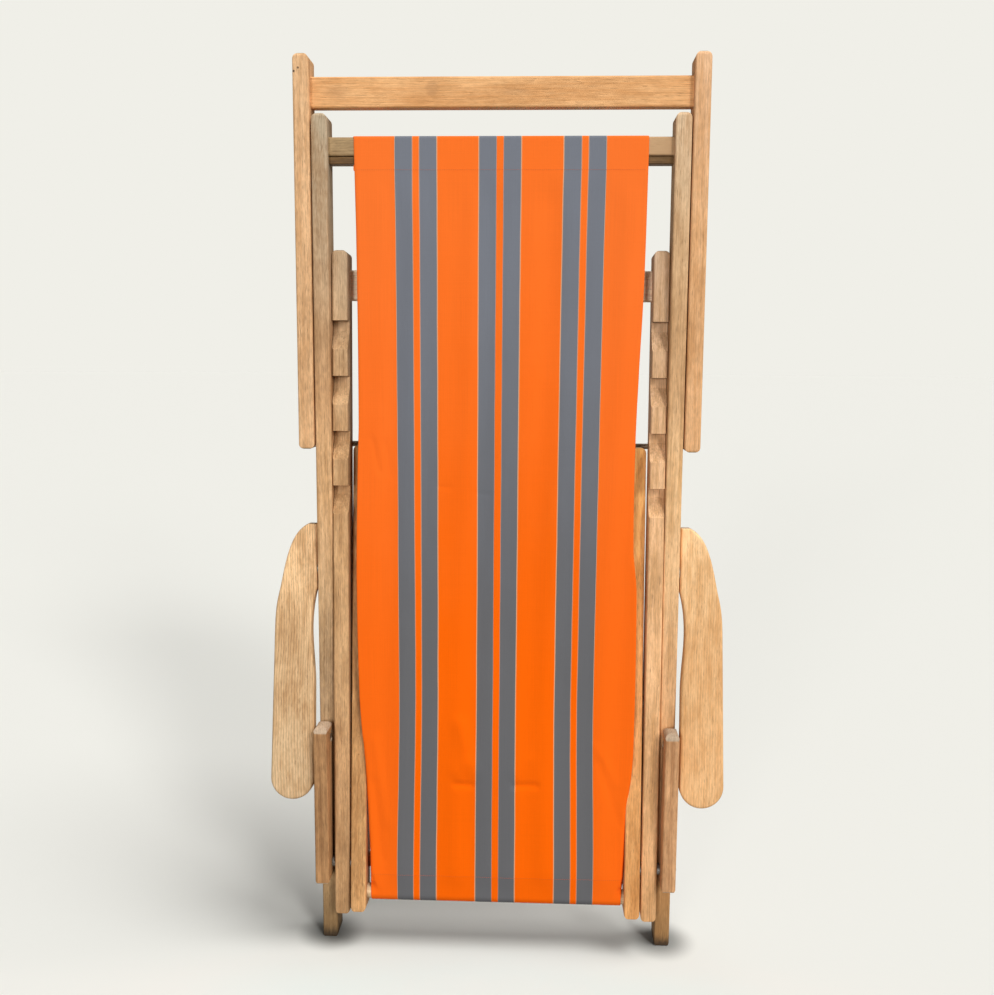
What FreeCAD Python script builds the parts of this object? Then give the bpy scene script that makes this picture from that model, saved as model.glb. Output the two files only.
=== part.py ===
import FreeCAD, Part
import math
import os

from FreeCAD import Placement, Rotation, Vector

# Folding deck chair with arms, folded flat and standing on its two feet.
# All lengths are in mm and all angles in degrees.
# X runs across the chair, Y from the front of the folded chair to its back, Z up.
# The origin is on the floor, in the middle of the chair's outline.

# Rails of the four frames
overall_width = 580.0
rail_width = 25.0
rail_depth = 45.0
frame_gap = 2.0
notched_gap = 1.0
inner_gap = 3.0
rail_edge_round = 3.0
rail_end_round = 6.0
rail_corner_round = 11.0
corner_land = 1.0
blunt_end_round = 2.0
low_corner_round = 9.0
foot_corner_round = 6.0
tenon_length = 10.0
tenon_shoulder = 3.0

# Back frame
back_length = 1340.0
head_rail_drop = 34.5
head_rail_height = 28.0
head_rail_depth = 25.0
head_seam = 1.0
head_batten_height = 11.0
head_batten_setback = 2.0
head_batten_round = 1.5
lower_stretcher_drop = 117.0
lower_stretcher_height = 45.0
lower_stretcher_depth = 15.0

# Prop frame that leans in the notches
prop_hinge_end = 34.0
prop_hinge_clear = 156.0
prop_bar_clear = 9.0
prop_bar_height = 46.0
prop_bar_depth = 22.0
prop_bar_end = 33.0
prop_low_round = 4.0

# Notched frame
seat_floor_gap = 55.0
fold_setback = -6.0
notched_tilt = 2.44
notched_offset = 6.5
notched_top = 721.0
notched_end_past = 8.0
notched_end_round = 4.0
notch_count = 4
first_notch = 351.0
notch_pitch = 87.0
notch_depth = 18.0
notch_floor = 15.0
notch_length = 46.0
rear_stretcher_reach = 669.0
rear_stretcher_height = 47.0
rear_stretcher_depth = 22.0
stretcher_groove = 1.5
stretcher_groove_drop = 9.0

# Inner seat frame that holds the front of the canvas
inner_tail = 415.0
seat_reach = 275.3
dowel_past_pivot = 48.2
inner_end_past_dowel = 28.5
seat_crossbar_height = 20.0
seat_crossbar_depth = 20.0
dowel_diameter = 24.0
tail_rod_diameter = 9.0
tail_rod_sunk = 3.0
tail_rod_overlap = 15.0

# Posts and arms
post_width = 23.0
post_end_round = 13.0
post_corner_round = 9.5
post_depth = 42.0
post_length = 265.0
post_pivot_end = 25.0
post_pivot_edge = 9.0
post_clear = 1.5
post_spacer_length = 5.5
arm_thickness = 22.0
arm_post_gap = 3.5
arm_tail = 73.0
arm_tail_width = 14.0
arm_crown = 38.0
arm_crown_width = 43.0
arm_shoulder = 30.0
arm_shoulder_width = 60.0
arm_swell = 100.0
arm_swell_width = 69.0
arm_width = 74.5
arm_length = 378.5
arm_scallop_reach = 98.0
arm_scallop = 5.0
arm_scallop_end = 196.0
arm_tail_slope = 0.5
arm_scallop_slope = 0.3
arm_edge_round = 4.0

# Bolts, washers and screws
bolt_diameter = 8.0
running_clearance = 0.06
open_pivot_clearance = 0.3
bolt_head_diameter = 18.0
bolt_head_height = 4.0
nut_diameter = 15.0
nut_height = 6.0
nut_sides = 6
washer_diameter = 20.0
washer_clear = 0.4
arm_bolt_depth = 40.0
post_bolt_blind = 5.0
screw_diameter = 4.5
screw_head_diameter = 9.0
screw_head_depth = 4.0
screw_grip = 20.0

# Canvas
canvas_overlap = 15.5
canvas_thickness = 2.0
canvas_clear = 0.3
canvas_stitch_drop = 9.0
canvas_hem_reach = 36.0
canvas_slim_length = 65.0
canvas_rail_clear = 1.0
canvas_side_gap = 2.0
canvas_waist_drop = 420.5
canvas_waist_inset = 8.5
canvas_fold_depth = 12.0

# Places across the chair, measured from its middle
back_outer = overall_width / 2
back_inner = back_outer - rail_width
notched_outer = back_inner - notched_gap
notched_inner = notched_outer - rail_width
inner_outer = notched_inner - inner_gap
inner_inner = inner_outer - rail_width
prop_inner = back_outer + frame_gap
prop_outer = prop_inner + rail_width
post_inner = notched_outer + post_spacer_length
post_outer = post_inner + post_width
arm_pivot_edge = back_outer + frame_gap
arm_front_edge = max(post_outer, back_outer) + arm_post_gap

# Places in the side view, with Y measured from the middle of the back rails
dowel_reach = seat_reach + dowel_past_pivot
inner_front = dowel_reach + inner_end_past_dowel
notched_bottom = inner_front + notched_end_past
fold_z = seat_floor_gap + notched_bottom
bolt_radius = bolt_diameter / 2
half_depth = rail_depth / 2
post_back = -half_depth - post_clear
post_pivot_spacing = post_length - 2 * post_pivot_end
post_pivot_y = post_back - post_pivot_edge
inner_tilt = math.degrees(math.asin((fold_setback - post_pivot_y) / seat_reach))
post_pivot_z = fold_z - seat_reach * math.cos(math.radians(inner_tilt))
arm_pivot_z = fold_z + post_pivot_spacing
head_rail_top = back_length - head_rail_drop
head_rail_bottom = head_rail_top - head_rail_height
head_batten_top = head_rail_bottom - head_seam
head_batten_bottom = head_batten_top - head_batten_height
lower_stretcher_z = fold_z - lower_stretcher_drop
prop_bar_z = back_length + prop_bar_clear + prop_bar_height / 2
prop_hinge_z = arm_pivot_z + arm_tail + prop_hinge_clear
prop_bottom = prop_hinge_z - prop_hinge_end
prop_top = prop_bar_z + prop_bar_height / 2 + prop_bar_end

# The outline's middle, front to back, becomes Y = 0
front_most = post_back - post_depth
back_most = (
    fold_setback
    + (inner_tail - rail_end_round) * math.sin(math.radians(inner_tilt))
    + half_depth * math.cos(math.radians(inner_tilt))
)
middle_y = (front_most + back_most) / 2


def block(x_low, x_high, y_low, y_high, z_low, z_high):
    size = (x_high - x_low, y_high - y_low, z_high - z_low)
    return Part.makeBox(size[0], size[1], size[2], Vector(x_low, y_low, z_low))


def mirrored(shape):
    return shape.mirror(Vector(0, 0, 0), Vector(1, 0, 0))


def pair(shape):
    return Part.makeCompound([shape, mirrored(shape)])


def turned(shape, tilt):
    """Turn a shape about the fold bolt, its top towards the back."""
    centre = Vector(0, fold_setback, fold_z)
    result = shape.copy()
    result.Placement = Placement(Vector(0, 0, 0), Rotation(Vector(1, 0, 0), -tilt), centre)
    return result


def rod(radius, x_low, x_high, y, z):
    return Part.makeCylinder(radius, x_high - x_low, Vector(x_low, y, z), Vector(1, 0, 0))


def rounded_rectangle(corner_at, low, high, radii):
    """Closed wire of a rectangle; corner_at maps two flat coordinates to a point.

    radii holds the two low corners' radius and the two high corners' radius.
    """
    a0, b0 = low
    a1, b1 = high
    low_r, high_r = radii
    bend = math.sqrt(0.5)
    corners = [
        (a0 + low_r, b0 + low_r, low_r, -1, -1),
        (a1 - low_r, b0 + low_r, low_r, 1, -1),
        (a1 - high_r, b1 - high_r, high_r, 1, 1),
        (a0 + high_r, b1 - high_r, high_r, -1, 1),
    ]
    edges = []
    ends = []
    for index, (ca, cb, r, sa, sb) in enumerate(corners):
        along = corner_at(ca + sa * r, cb)
        across = corner_at(ca, cb + sb * r)
        middle = corner_at(ca + sa * r * bend, cb + sb * r * bend)
        start, end = (along, across) if index % 2 == 0 else (across, along)
        edges.append(Part.Arc(start, middle, end).toShape())
        ends.append((start, end))
    lines = []
    for index, (_, end) in enumerate(ends):
        following = ends[(index + 1) % len(ends)][0]
        lines.append(Part.LineSegment(end, following).toShape())
    loop = []
    for edge, line in zip(edges, lines):
        loop += [edge, line]
    return Part.Wire(Part.__sortEdges__(loop))


def rail(x_low, depth_low, depth_high, z_low, z_high, width, low_rounds, high_rounds):
    """Upright rail with soft long edges and rounded ends.

    low_rounds and high_rounds hold the end's radius in the side view and in the front view.
    """
    x_high = x_low + width
    height = z_high - z_low
    widest = width / 2 - corner_land
    section = rounded_rectangle(
        lambda x, y: Vector(x, y, z_low), (x_low, depth_low), (x_high, depth_high),
        (rail_edge_round, rail_edge_round))
    side = rounded_rectangle(
        lambda y, z: Vector(x_low, y, z), (depth_low, z_low), (depth_high, z_high),
        (low_rounds[0], high_rounds[0]))
    front = rounded_rectangle(
        lambda x, z: Vector(x, depth_low, z), (x_low, z_low), (x_high, z_high),
        (min(low_rounds[1], widest), min(high_rounds[1], widest)))
    body = Part.Face(section).extrude(Vector(0, 0, height))
    body = body.common(Part.Face(side).extrude(Vector(width, 0, 0)))
    return body.common(Part.Face(front).extrude(Vector(0, depth_high - depth_low, 0)))


def crossbar(half_span, depth_low, depth_high, z_low, z_high, edge_round):
    """Bar between two rails, with a tenon at each end."""
    shape = rounded_rectangle(
        lambda y, z: Vector(-half_span, y, z), (depth_low, z_low), (depth_high, z_high),
        (edge_round, edge_round))
    bar = Part.Face(shape).extrude(Vector(2 * half_span, 0, 0))
    tenon = block(
        -half_span - tenon_length, half_span + tenon_length,
        depth_low + tenon_shoulder, depth_high - tenon_shoulder,
        z_low + tenon_shoulder, z_high - tenon_shoulder)
    return bar.fuse(tenon).removeSplitter()


def dome(x, y, z, direction):
    """Bolt head: a low dome standing on a flat face."""
    flat_radius = bolt_head_diameter / 2
    ball = (flat_radius ** 2 + bolt_head_height ** 2) / (2 * bolt_head_height)
    centre = Vector(x + direction * (bolt_head_height - ball), y, z)
    sphere = Part.makeSphere(ball, centre)
    low = x if direction > 0 else x - bolt_head_height
    slab = block(low, low + bolt_head_height, y - ball, y + ball, z - ball, z + ball)
    return sphere.common(slab)


def hex_nut(x_low, y, z):
    points = []
    for index in range(nut_sides + 1):
        angle = math.tau * index / nut_sides
        reach = nut_diameter / 2
        points.append(Vector(x_low, y + reach * math.cos(angle), z + reach * math.sin(angle)))
    nut = Part.Face(Part.makePolygon(points)).extrude(Vector(nut_height, 0, 0))
    return nut.cut(rod(bolt_radius, x_low, x_low + nut_height, y, z))


def ring(x_low, x_high, y, z, outer_diameter, bore_radius):
    outer = rod(outer_diameter / 2, x_low, x_high, y, z)
    return outer.cut(rod(bore_radius, x_low, x_high, y, z))


def screw(x_face, y, z, direction, grip):
    """Countersunk wood screw whose head is flush with the face at x_face."""
    head = Part.makeCone(
        screw_head_diameter / 2, screw_diameter / 2, screw_head_depth,
        Vector(x_face, y, z), Vector(direction, 0, 0))
    shank = Part.makeCylinder(
        screw_diameter / 2, grip, Vector(x_face, y, z), Vector(direction, 0, 0))
    return head.fuse(shank).removeSplitter()


def bore(radius, x_low, x_high, y, z):
    """Cutter for a hole along X that runs a little past both faces."""
    past = 1.0
    return rod(radius, x_low - past, x_high + past, y, z)


def back_frame():
    """Two long rails, the head rail with its batten, and a low stretcher."""
    half_head = head_rail_depth / 2
    head = crossbar(
        back_inner, -half_head, half_head, head_rail_bottom, head_rail_top, rail_edge_round)
    batten = crossbar(
        back_inner, -half_head + head_batten_setback, half_head,
        head_batten_bottom, head_batten_top, head_batten_round)
    low_z = lower_stretcher_z - lower_stretcher_height / 2
    low_bar = crossbar(
        back_inner, half_depth - lower_stretcher_depth, half_depth,
        low_z, low_z + lower_stretcher_height, rail_edge_round)

    side = rail(
        back_inner, -half_depth, half_depth, 0, back_length, rail_width,
        (blunt_end_round, foot_corner_round), (rail_end_round, rail_corner_round))
    head_z = (head_rail_bottom + head_rail_top) / 2
    low_y = half_depth - lower_stretcher_depth / 2
    grip = rail_width + screw_grip
    screws = [
        screw(back_outer, 0, head_z, -1, grip),
        screw(back_outer, low_y, lower_stretcher_z, -1, grip),
    ]
    side = side.cut(Part.makeCompound([head, batten, low_bar] + screws))
    for y, z in ((0, prop_hinge_z), (fold_setback, fold_z), (fold_setback, arm_pivot_z)):
        side = side.cut(bore(bolt_radius, back_inner, back_outer, y, z))
    arm_counterbore = rod(
        bolt_head_diameter / 2, back_inner, back_inner + bolt_head_height,
        fold_setback, arm_pivot_z)
    fold_counterbore = rod(
        bolt_head_diameter / 2, back_outer - bolt_head_height, back_outer, fold_setback, fold_z)
    prop_counterbore = rod(
        nut_diameter / 2 + washer_clear, back_inner, back_inner + nut_height, 0, prop_hinge_z)
    side = side.cut(arm_counterbore).cut(fold_counterbore).cut(prop_counterbore)

    all_screws = Part.makeCompound(screws + [mirrored(item) for item in screws])
    head = head.cut(all_screws)
    low_bar = low_bar.cut(all_screws)
    return {
        "back_rail_right": side,
        "back_rail_left": mirrored(side),
        "head_rail": head,
        "head_batten": batten,
        "lower_stretcher": low_bar,
        "frame_screws": all_screws,
    }


def back_hardware():
    """Pivot bolts, nuts and washers carried by the back frame."""
    washer = frame_gap - washer_clear
    prop_head = prop_outer - bolt_head_height
    prop_bolt = dome(prop_head, 0, prop_hinge_z, 1)
    prop_bolt = prop_bolt.fuse(rod(bolt_radius, back_inner, prop_head, 0, prop_hinge_z))
    fold_bolt = rod(
        bolt_head_diameter / 2, back_outer - bolt_head_height, back_outer, fold_setback, fold_z)
    fold_bolt = fold_bolt.fuse(
        rod(bolt_radius, inner_inner - washer_clear - nut_height, back_outer, fold_setback, fold_z))
    arm_bolt = rod(
        bolt_head_diameter / 2, back_inner, back_inner + bolt_head_height,
        fold_setback, arm_pivot_z)
    arm_bolt = arm_bolt.fuse(rod(
        bolt_radius, back_inner, arm_pivot_edge + arm_bolt_depth, fold_setback, arm_pivot_z))
    return {
        "prop_bolts": pair(prop_bolt),
        "prop_nuts": pair(hex_nut(back_inner, 0, prop_hinge_z)),
        "prop_washers": pair(ring(
            back_outer, back_outer + washer, 0, prop_hinge_z, washer_diameter, bolt_radius)),
        "fold_bolts": pair(fold_bolt),
        "fold_nuts": pair(hex_nut(
            inner_inner - washer_clear - nut_height, fold_setback, fold_z)),
        "fold_washers": pair(ring(
            back_inner - notched_gap + washer_clear, back_inner, fold_setback, fold_z,
            washer_diameter, bolt_radius)),
        "arm_bolts": pair(arm_bolt),
        "arm_washers": pair(ring(
            back_outer, back_outer + washer, fold_setback, arm_pivot_z,
            washer_diameter, bolt_radius)),
    }


def prop_frame():
    """U-shaped frame that swings behind the back and leans in the notches."""
    half_bar = prop_bar_depth / 2
    low_z = prop_bar_z - prop_bar_height / 2
    bar = crossbar(
        prop_inner, -half_bar, half_bar, low_z, low_z + prop_bar_height, rail_edge_round)
    side = rail(
        prop_inner, -half_depth, half_depth, prop_bottom, prop_top, rail_width,
        (prop_low_round, low_corner_round), (rail_end_round, rail_corner_round))
    fixing = screw(prop_outer, 0, prop_bar_z, -1, rail_width + screw_grip)
    side = side.cut(Part.makeCompound([bar, fixing]))
    side = side.cut(bore(
        bolt_radius + running_clearance, prop_inner, prop_outer, 0, prop_hinge_z))
    side = side.cut(rod(
        bolt_head_diameter / 2 + washer_clear, prop_outer - bolt_head_height - washer_clear,
        prop_outer, 0, prop_hinge_z))
    return {
        "prop_rail_right": side,
        "prop_rail_left": mirrored(side),
        "prop_crossbar": bar.cut(pair(fixing)),
        "prop_screws": pair(fixing),
    }


def notch_cutter(shelf_z, front_y):
    """One notch: a shelf that faces down, a short floor and a slope back out."""
    past = 5.0
    deep_y = front_y + notch_depth
    points = [
        Vector(notched_inner - past, front_y - past, shelf_z),
        Vector(notched_inner - past, deep_y, shelf_z),
        Vector(notched_inner - past, deep_y, shelf_z - notch_floor),
        Vector(notched_inner - past, front_y, shelf_z - notch_length),
        Vector(notched_inner - past, front_y - past, shelf_z - notch_length),
    ]
    face = Part.Face(Part.makePolygon(points + points[:1]))
    return face.extrude(Vector(rail_width + 2 * past, 0, 0))


def notched_frame():
    """Rails with the notches and the rear stretcher, turned about the fold bolt."""
    back_y = fold_setback - notched_offset + half_depth
    front_y = back_y - rail_depth
    side = rail(
        notched_inner, front_y, back_y, fold_z - notched_bottom, fold_z + notched_top, rail_width,
        (blunt_end_round, low_corner_round), (notched_end_round, low_corner_round))
    for index in range(notch_count):
        shelf_z = fold_z + first_notch + index * notch_pitch
        side = side.cut(notch_cutter(shelf_z, front_y))

    stretcher_z = fold_z + rear_stretcher_reach
    half_height = rear_stretcher_height / 2
    stretcher = crossbar(
        notched_inner, back_y - rear_stretcher_depth, back_y,
        stretcher_z - half_height, stretcher_z + half_height, rail_edge_round)
    groove_z = stretcher_z + half_height - stretcher_groove_drop
    groove_y = back_y - rear_stretcher_depth
    stretcher = stretcher.cut(block(
        -notched_inner, notched_inner, groove_y, groove_y + stretcher_groove,
        groove_z - stretcher_groove, groove_z))
    fixing = screw(
        notched_outer, back_y - rear_stretcher_depth / 2, stretcher_z, -1,
        rail_width + screw_grip)
    side = side.cut(Part.makeCompound([stretcher, fixing]))
    stretcher = stretcher.cut(pair(fixing))

    side = turned(side, notched_tilt)
    side = side.cut(bore(
        bolt_radius + running_clearance, notched_inner, notched_outer, fold_setback, fold_z))
    side = side.cut(bore(
        bolt_radius, notched_inner, notched_outer, post_pivot_y, post_pivot_z))
    return {
        "notched_rail_right": side,
        "notched_rail_left": mirrored(side),
        "rear_stretcher": turned(stretcher, notched_tilt),
        "seat_screws": turned(pair(fixing), notched_tilt),
    }


def inner_frame():
    """Seat rails inside the notched frame, with the canvas dowel and the tail rod."""
    back_y = fold_setback + half_depth
    side = rail(
        inner_inner, back_y - rail_depth, back_y, fold_z - inner_front, fold_z + inner_tail,
        rail_width,
        (blunt_end_round, low_corner_round), (rail_end_round, rail_corner_round))
    bar_z = fold_z - seat_reach
    half_height = seat_crossbar_height / 2
    bar = crossbar(
        inner_inner, back_y - seat_crossbar_depth, back_y, bar_z - half_height,
        bar_z + half_height, rail_edge_round)
    dowel = rod(
        dowel_diameter / 2, -inner_inner - tenon_length, inner_inner + tenon_length,
        fold_setback, fold_z - dowel_reach)
    rod_half = notched_inner + tail_rod_overlap
    rod_radius = tail_rod_diameter / 2
    tail_rod = rod(
        rod_radius, -rod_half, rod_half, fold_setback,
        fold_z + inner_tail - tail_rod_sunk + rod_radius)
    side = side.cut(Part.makeCompound([bar, dowel, tail_rod]))
    side = side.cut(bore(
        bolt_radius + running_clearance, inner_inner, inner_outer, fold_setback, fold_z))
    side = side.cut(rod(
        bolt_radius, inner_inner + post_bolt_blind, inner_outer + inner_gap, fold_setback, bar_z))
    side = turned(side, inner_tilt)
    return {
        "inner_rail_right": side,
        "inner_rail_left": mirrored(side),
        "seat_crossbar": turned(bar, inner_tilt),
        "canvas_dowel": turned(dowel, inner_tilt),
        "tail_rod": turned(tail_rod, inner_tilt),
    }


def seat_hardware():
    """Bolts that carry the posts, their spacers and the washers between the seat rails."""
    bolt = dome(post_outer + washer_clear, post_pivot_y, post_pivot_z, 1)
    bolt = bolt.fuse(rod(
        bolt_radius, inner_inner + post_bolt_blind, post_outer + washer_clear,
        post_pivot_y, post_pivot_z))
    spacer = ring(
        notched_outer, post_inner - washer_clear, post_pivot_y, post_pivot_z,
        bolt_head_diameter, bolt_radius)
    washers = []
    for y, z, radius in (
            (fold_setback, fold_z, bolt_radius + running_clearance),
            (post_pivot_y, post_pivot_z, bolt_radius)):
        washers.append(ring(inner_outer, notched_inner, y, z, washer_diameter, radius))
    washers += [mirrored(item) for item in washers]
    return {
        "post_bolts": pair(bolt),
        "post_spacers": pair(spacer),
        "inner_washers": Part.makeCompound(washers),
    }


def arm_outline():
    """Outline of the right arm from above, as X and the distance along the arm."""
    outer = [
        (arm_pivot_edge + arm_tail_width, arm_tail),
        (arm_pivot_edge + arm_crown_width, arm_crown),
        (arm_pivot_edge + arm_shoulder_width, -arm_shoulder),
        (arm_pivot_edge + arm_swell_width, -arm_swell),
    ]
    end_radius = (arm_pivot_edge + arm_width - arm_front_edge) / 2
    end_centre = arm_front_edge + end_radius
    end_start = end_radius - arm_length
    scallop_x = arm_front_edge + arm_scallop
    inner_low = (arm_front_edge, -arm_scallop_end)
    inner_high = (arm_pivot_edge, -arm_shoulder)

    def at(x, along):
        return Vector(x, 0, along)

    wide_end = at(end_centre + end_radius, end_start)
    spline = Part.BSplineCurve()
    spline.interpolate(
        [at(*point) for point in outer],
        InitialTangent=Vector(1, 0, -arm_tail_slope),
        FinalTangent=(wide_end - at(*outer[-1])).normalize())
    edges = [spline.toShape()]
    edges.append(Part.LineSegment(at(*outer[-1]), wide_end).toShape())
    edges.append(Part.Arc(
        wide_end, at(end_centre, -arm_length), at(arm_front_edge, end_start)).toShape())
    edges.append(Part.LineSegment(at(arm_front_edge, end_start), at(*inner_low)).toShape())
    scallop = Part.BSplineCurve()
    scallop.interpolate(
        [at(*inner_low), at(scallop_x, -arm_scallop_reach), at(*inner_high)],
        InitialTangent=Vector(0, 0, 1), FinalTangent=Vector(-arm_scallop_slope, 0, 1))
    edges.append(scallop.toShape())
    edges.append(Part.LineSegment(at(*inner_high), at(arm_pivot_edge, arm_tail)).toShape())
    edges.append(Part.LineSegment(at(arm_pivot_edge, arm_tail), at(*outer[0])).toShape())
    return Part.Wire(edges)


def arms():
    """Two shaped boards, each with the pin that its post turns on."""
    half = arm_thickness / 2
    board = Part.Face(arm_outline()).extrude(Vector(0, arm_thickness, 0))
    board.translate(Vector(0, -half, 0))
    rims = []
    for edge in board.Edges:
        ends = [vertex.Point.y for vertex in edge.Vertexes]
        if max(ends) - min(ends) < half:
            rims.append(edge)
    board = board.makeFillet(arm_edge_round, rims)
    board = board.cut(rod(
        bolt_radius + running_clearance, arm_pivot_edge - arm_edge_round,
        arm_pivot_edge + arm_bolt_depth + washer_clear, 0, 0))
    board.Placement = Placement(
        Vector(0, fold_setback, arm_pivot_z), Rotation(Vector(1, 0, 0), -inner_tilt))
    pin_y = post_pivot_y
    pin_z = post_pivot_z + post_pivot_spacing
    head_base = post_inner + bolt_head_height
    pin = rod(bolt_radius, head_base, arm_front_edge + arm_bolt_depth, pin_y, pin_z)
    pin = pin.fuse(dome(head_base, pin_y, pin_z, -1))
    board = board.cut(pin)
    return {
        "arm_right": board,
        "arm_left": mirrored(board),
        "arm_pin_right": pin,
        "arm_pin_left": mirrored(pin),
    }


def posts():
    """Two short posts that stay parallel to the back rails."""
    low_z = post_pivot_z - post_pivot_end
    post = rail(
        post_inner, post_back - post_depth, post_back, low_z, low_z + post_length, post_width,
        (blunt_end_round, foot_corner_round), (post_end_round, post_corner_round))
    post = post.cut(bore(
        bolt_radius + running_clearance, post_inner, post_outer, post_pivot_y, post_pivot_z))
    pin_z = post_pivot_z + post_pivot_spacing
    post = post.cut(bore(
        bolt_radius + open_pivot_clearance, post_inner, post_outer, post_pivot_y, pin_z))
    post = post.cut(rod(
        bolt_head_diameter / 2 + washer_clear, post_inner,
        post_inner + bolt_head_height + washer_clear, post_pivot_y, pin_z))
    return {"post_right": post, "post_left": mirrored(post)}


def sleeve(y_low, y_high, z_low, z_high, low_round, high_round, half_width):
    """Tube of cloth around a bar, given by the faces of the bar that it clears."""
    wires = []
    for grow in (canvas_clear + canvas_thickness, canvas_clear):
        wires.append(rounded_rectangle(
            lambda y, z: Vector(-half_width, y, z), (y_low - grow, z_low - grow),
            (y_high + grow, z_high + grow), (low_round + grow, high_round + grow)))
    outer, inner = [Part.Face(wire).extrude(Vector(2 * half_width, 0, 0)) for wire in wires]
    return outer.cut(inner)


def canvas():
    """Sling: a sleeve on the head rail, a long front face and a hem round the dowel."""
    half_width = inner_inner + canvas_overlap
    half_head = head_rail_depth / 2
    angle = math.radians(inner_tilt)
    dowel_radius = dowel_diameter / 2
    dowel_y = fold_setback - dowel_reach * math.sin(angle)
    dowel_z = fold_z - dowel_reach * math.cos(angle)
    top = sleeve(
        -half_head, half_head, head_batten_bottom, head_rail_top,
        head_batten_round, rail_edge_round, half_width)
    hem_outer = rod(
        dowel_radius + canvas_clear + canvas_thickness, -half_width, half_width, dowel_y, dowel_z)
    hem = hem_outer.cut(rod(
        dowel_radius + canvas_clear, -half_width, half_width, dowel_y, dowel_z))

    front_top_y = -half_head - canvas_clear - canvas_thickness
    front_top_z = head_rail_top - rail_edge_round
    front_low_y = dowel_y - dowel_radius - canvas_clear - canvas_thickness
    slope = (front_low_y - front_top_y) / (dowel_z - front_top_z)

    def front_at(z):
        return front_top_y + slope * (z - front_top_z)

    def strip(z_low, z_high, depth, reach):
        points = [
            Vector(-reach, front_at(z_low), z_low),
            Vector(-reach, front_at(z_low) + depth, z_low),
            Vector(-reach, front_at(z_high) + depth, z_high),
            Vector(-reach, front_at(z_high), z_high),
        ]
        return Part.Face(Part.makePolygon(points + points[:1])).extrude(Vector(2 * reach, 0, 0))

    stitch_z = head_batten_bottom - canvas_clear - canvas_stitch_drop
    sling = strip(dowel_z, head_batten_bottom, canvas_thickness, half_width)
    sling = sling.fuse(strip(
        stitch_z, head_batten_bottom - canvas_clear, 2 * canvas_thickness, half_width))
    sling = sling.fuse(strip(
        dowel_z + dowel_radius, dowel_z + canvas_hem_reach, 2 * canvas_thickness, half_width))
    sling = sling.fuse([top, hem]).removeSplitter()

    slim = inner_inner - canvas_side_gap
    waist = half_width - canvas_waist_inset
    rail_front_y = fold_setback - half_depth / math.cos(angle)
    rail_slope = math.tan(angle)
    slim_z = (
        (rail_front_y - rail_slope * fold_z)
        - (front_top_y + canvas_thickness + canvas_rail_clear - slope * front_top_z)
    ) / (slope - rail_slope)
    outline = [
        (slim, 0),
        (slim, slim_z),
        (waist, slim_z + canvas_slim_length),
        (waist, head_batten_bottom - canvas_waist_drop),
        (half_width, head_batten_bottom),
        (half_width, back_length),
    ]
    reach = rail_depth + post_depth
    points = [Vector(x, -reach, z) for x, z in outline]
    points += [Vector(-x, -reach, z) for x, z in reversed(outline)]
    stencil = Part.Face(Part.makePolygon(points + points[:1])).extrude(Vector(0, 2 * reach, 0))
    sling = sling.common(stencil)

    fold_points = [
        Vector(slim - canvas_thickness, front_at(slim_z), slim_z),
        Vector(slim - canvas_thickness, front_at(dowel_z), dowel_z),
        Vector(slim - canvas_thickness, front_at(dowel_z) + canvas_fold_depth, dowel_z),
        Vector(slim - canvas_thickness, front_at(post_pivot_z) + canvas_fold_depth, post_pivot_z),
    ]
    fold = Part.Face(Part.makePolygon(fold_points + fold_points[:1]))
    fold = fold.extrude(Vector(canvas_thickness, 0, 0))
    fold = fold.cut(rod(dowel_radius + canvas_clear, -half_width, half_width, dowel_y, dowel_z))
    sling = sling.fuse([fold, mirrored(fold)]).removeSplitter()
    return {"canvas": sling}


def main():
    os.makedirs("parts", exist_ok=True)
    nodes = {}
    for group in (
            back_frame(), back_hardware(), prop_frame(), notched_frame(), inner_frame(),
            seat_hardware(), arms(), posts(), canvas()):
        nodes.update(group)
    for name, shape in nodes.items():
        placed = shape.copy()
        placed.translate(Vector(0, -middle_y, 0))
        placed.exportStep("parts/" + name + ".step")
    print(len(nodes), "nodes")


main()
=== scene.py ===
import bpy
import math
import random

from mathutils import Matrix, Vector


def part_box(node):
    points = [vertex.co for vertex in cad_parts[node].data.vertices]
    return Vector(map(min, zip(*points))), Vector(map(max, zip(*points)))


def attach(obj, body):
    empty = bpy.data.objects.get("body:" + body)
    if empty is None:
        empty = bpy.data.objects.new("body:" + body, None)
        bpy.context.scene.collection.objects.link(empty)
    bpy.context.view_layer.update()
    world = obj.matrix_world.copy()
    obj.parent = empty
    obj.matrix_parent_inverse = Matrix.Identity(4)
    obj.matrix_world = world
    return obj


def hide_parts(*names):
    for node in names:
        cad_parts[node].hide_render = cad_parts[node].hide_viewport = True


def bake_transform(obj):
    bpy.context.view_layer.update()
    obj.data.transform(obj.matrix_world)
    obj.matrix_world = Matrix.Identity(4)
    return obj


# Folding deck chair with a striped sling, folded flat and standing on its back rails.
# Lengths are in metres in the frame of the CAD part, angles in degrees, colours in sRGB.

# Camera at the photograph's place
camera_place = (0.068894, -1.702614, 0.974012)
camera_yaw = -2.383
camera_pitch = -7.5402
camera_roll = 0.3583
camera_lens = 38.846
camera_sensor = 36.0

# Light and floor
background_colour = (0.9412, 0.9373, 0.9098)
sky_strength = 0.04
# Lamps: strength, angle across, azimuth from the front to the right, elevation
lamps = {
    "key_high": (0.97, 13.0, 32.0, 27.0),
    "key_low": (0.45, 11.0, 29.0, 14.0),
    "side": (2.30, 35.0, 65.0, 64.0),
    "fill": (1.20, 14.0, -18.0, 6.0),
    "behind": (0.27, 20.0, 200.0, 84.0),
}
floor_radius = 60.0
floor_sides = 96
floor_bounce = 0.22
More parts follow.
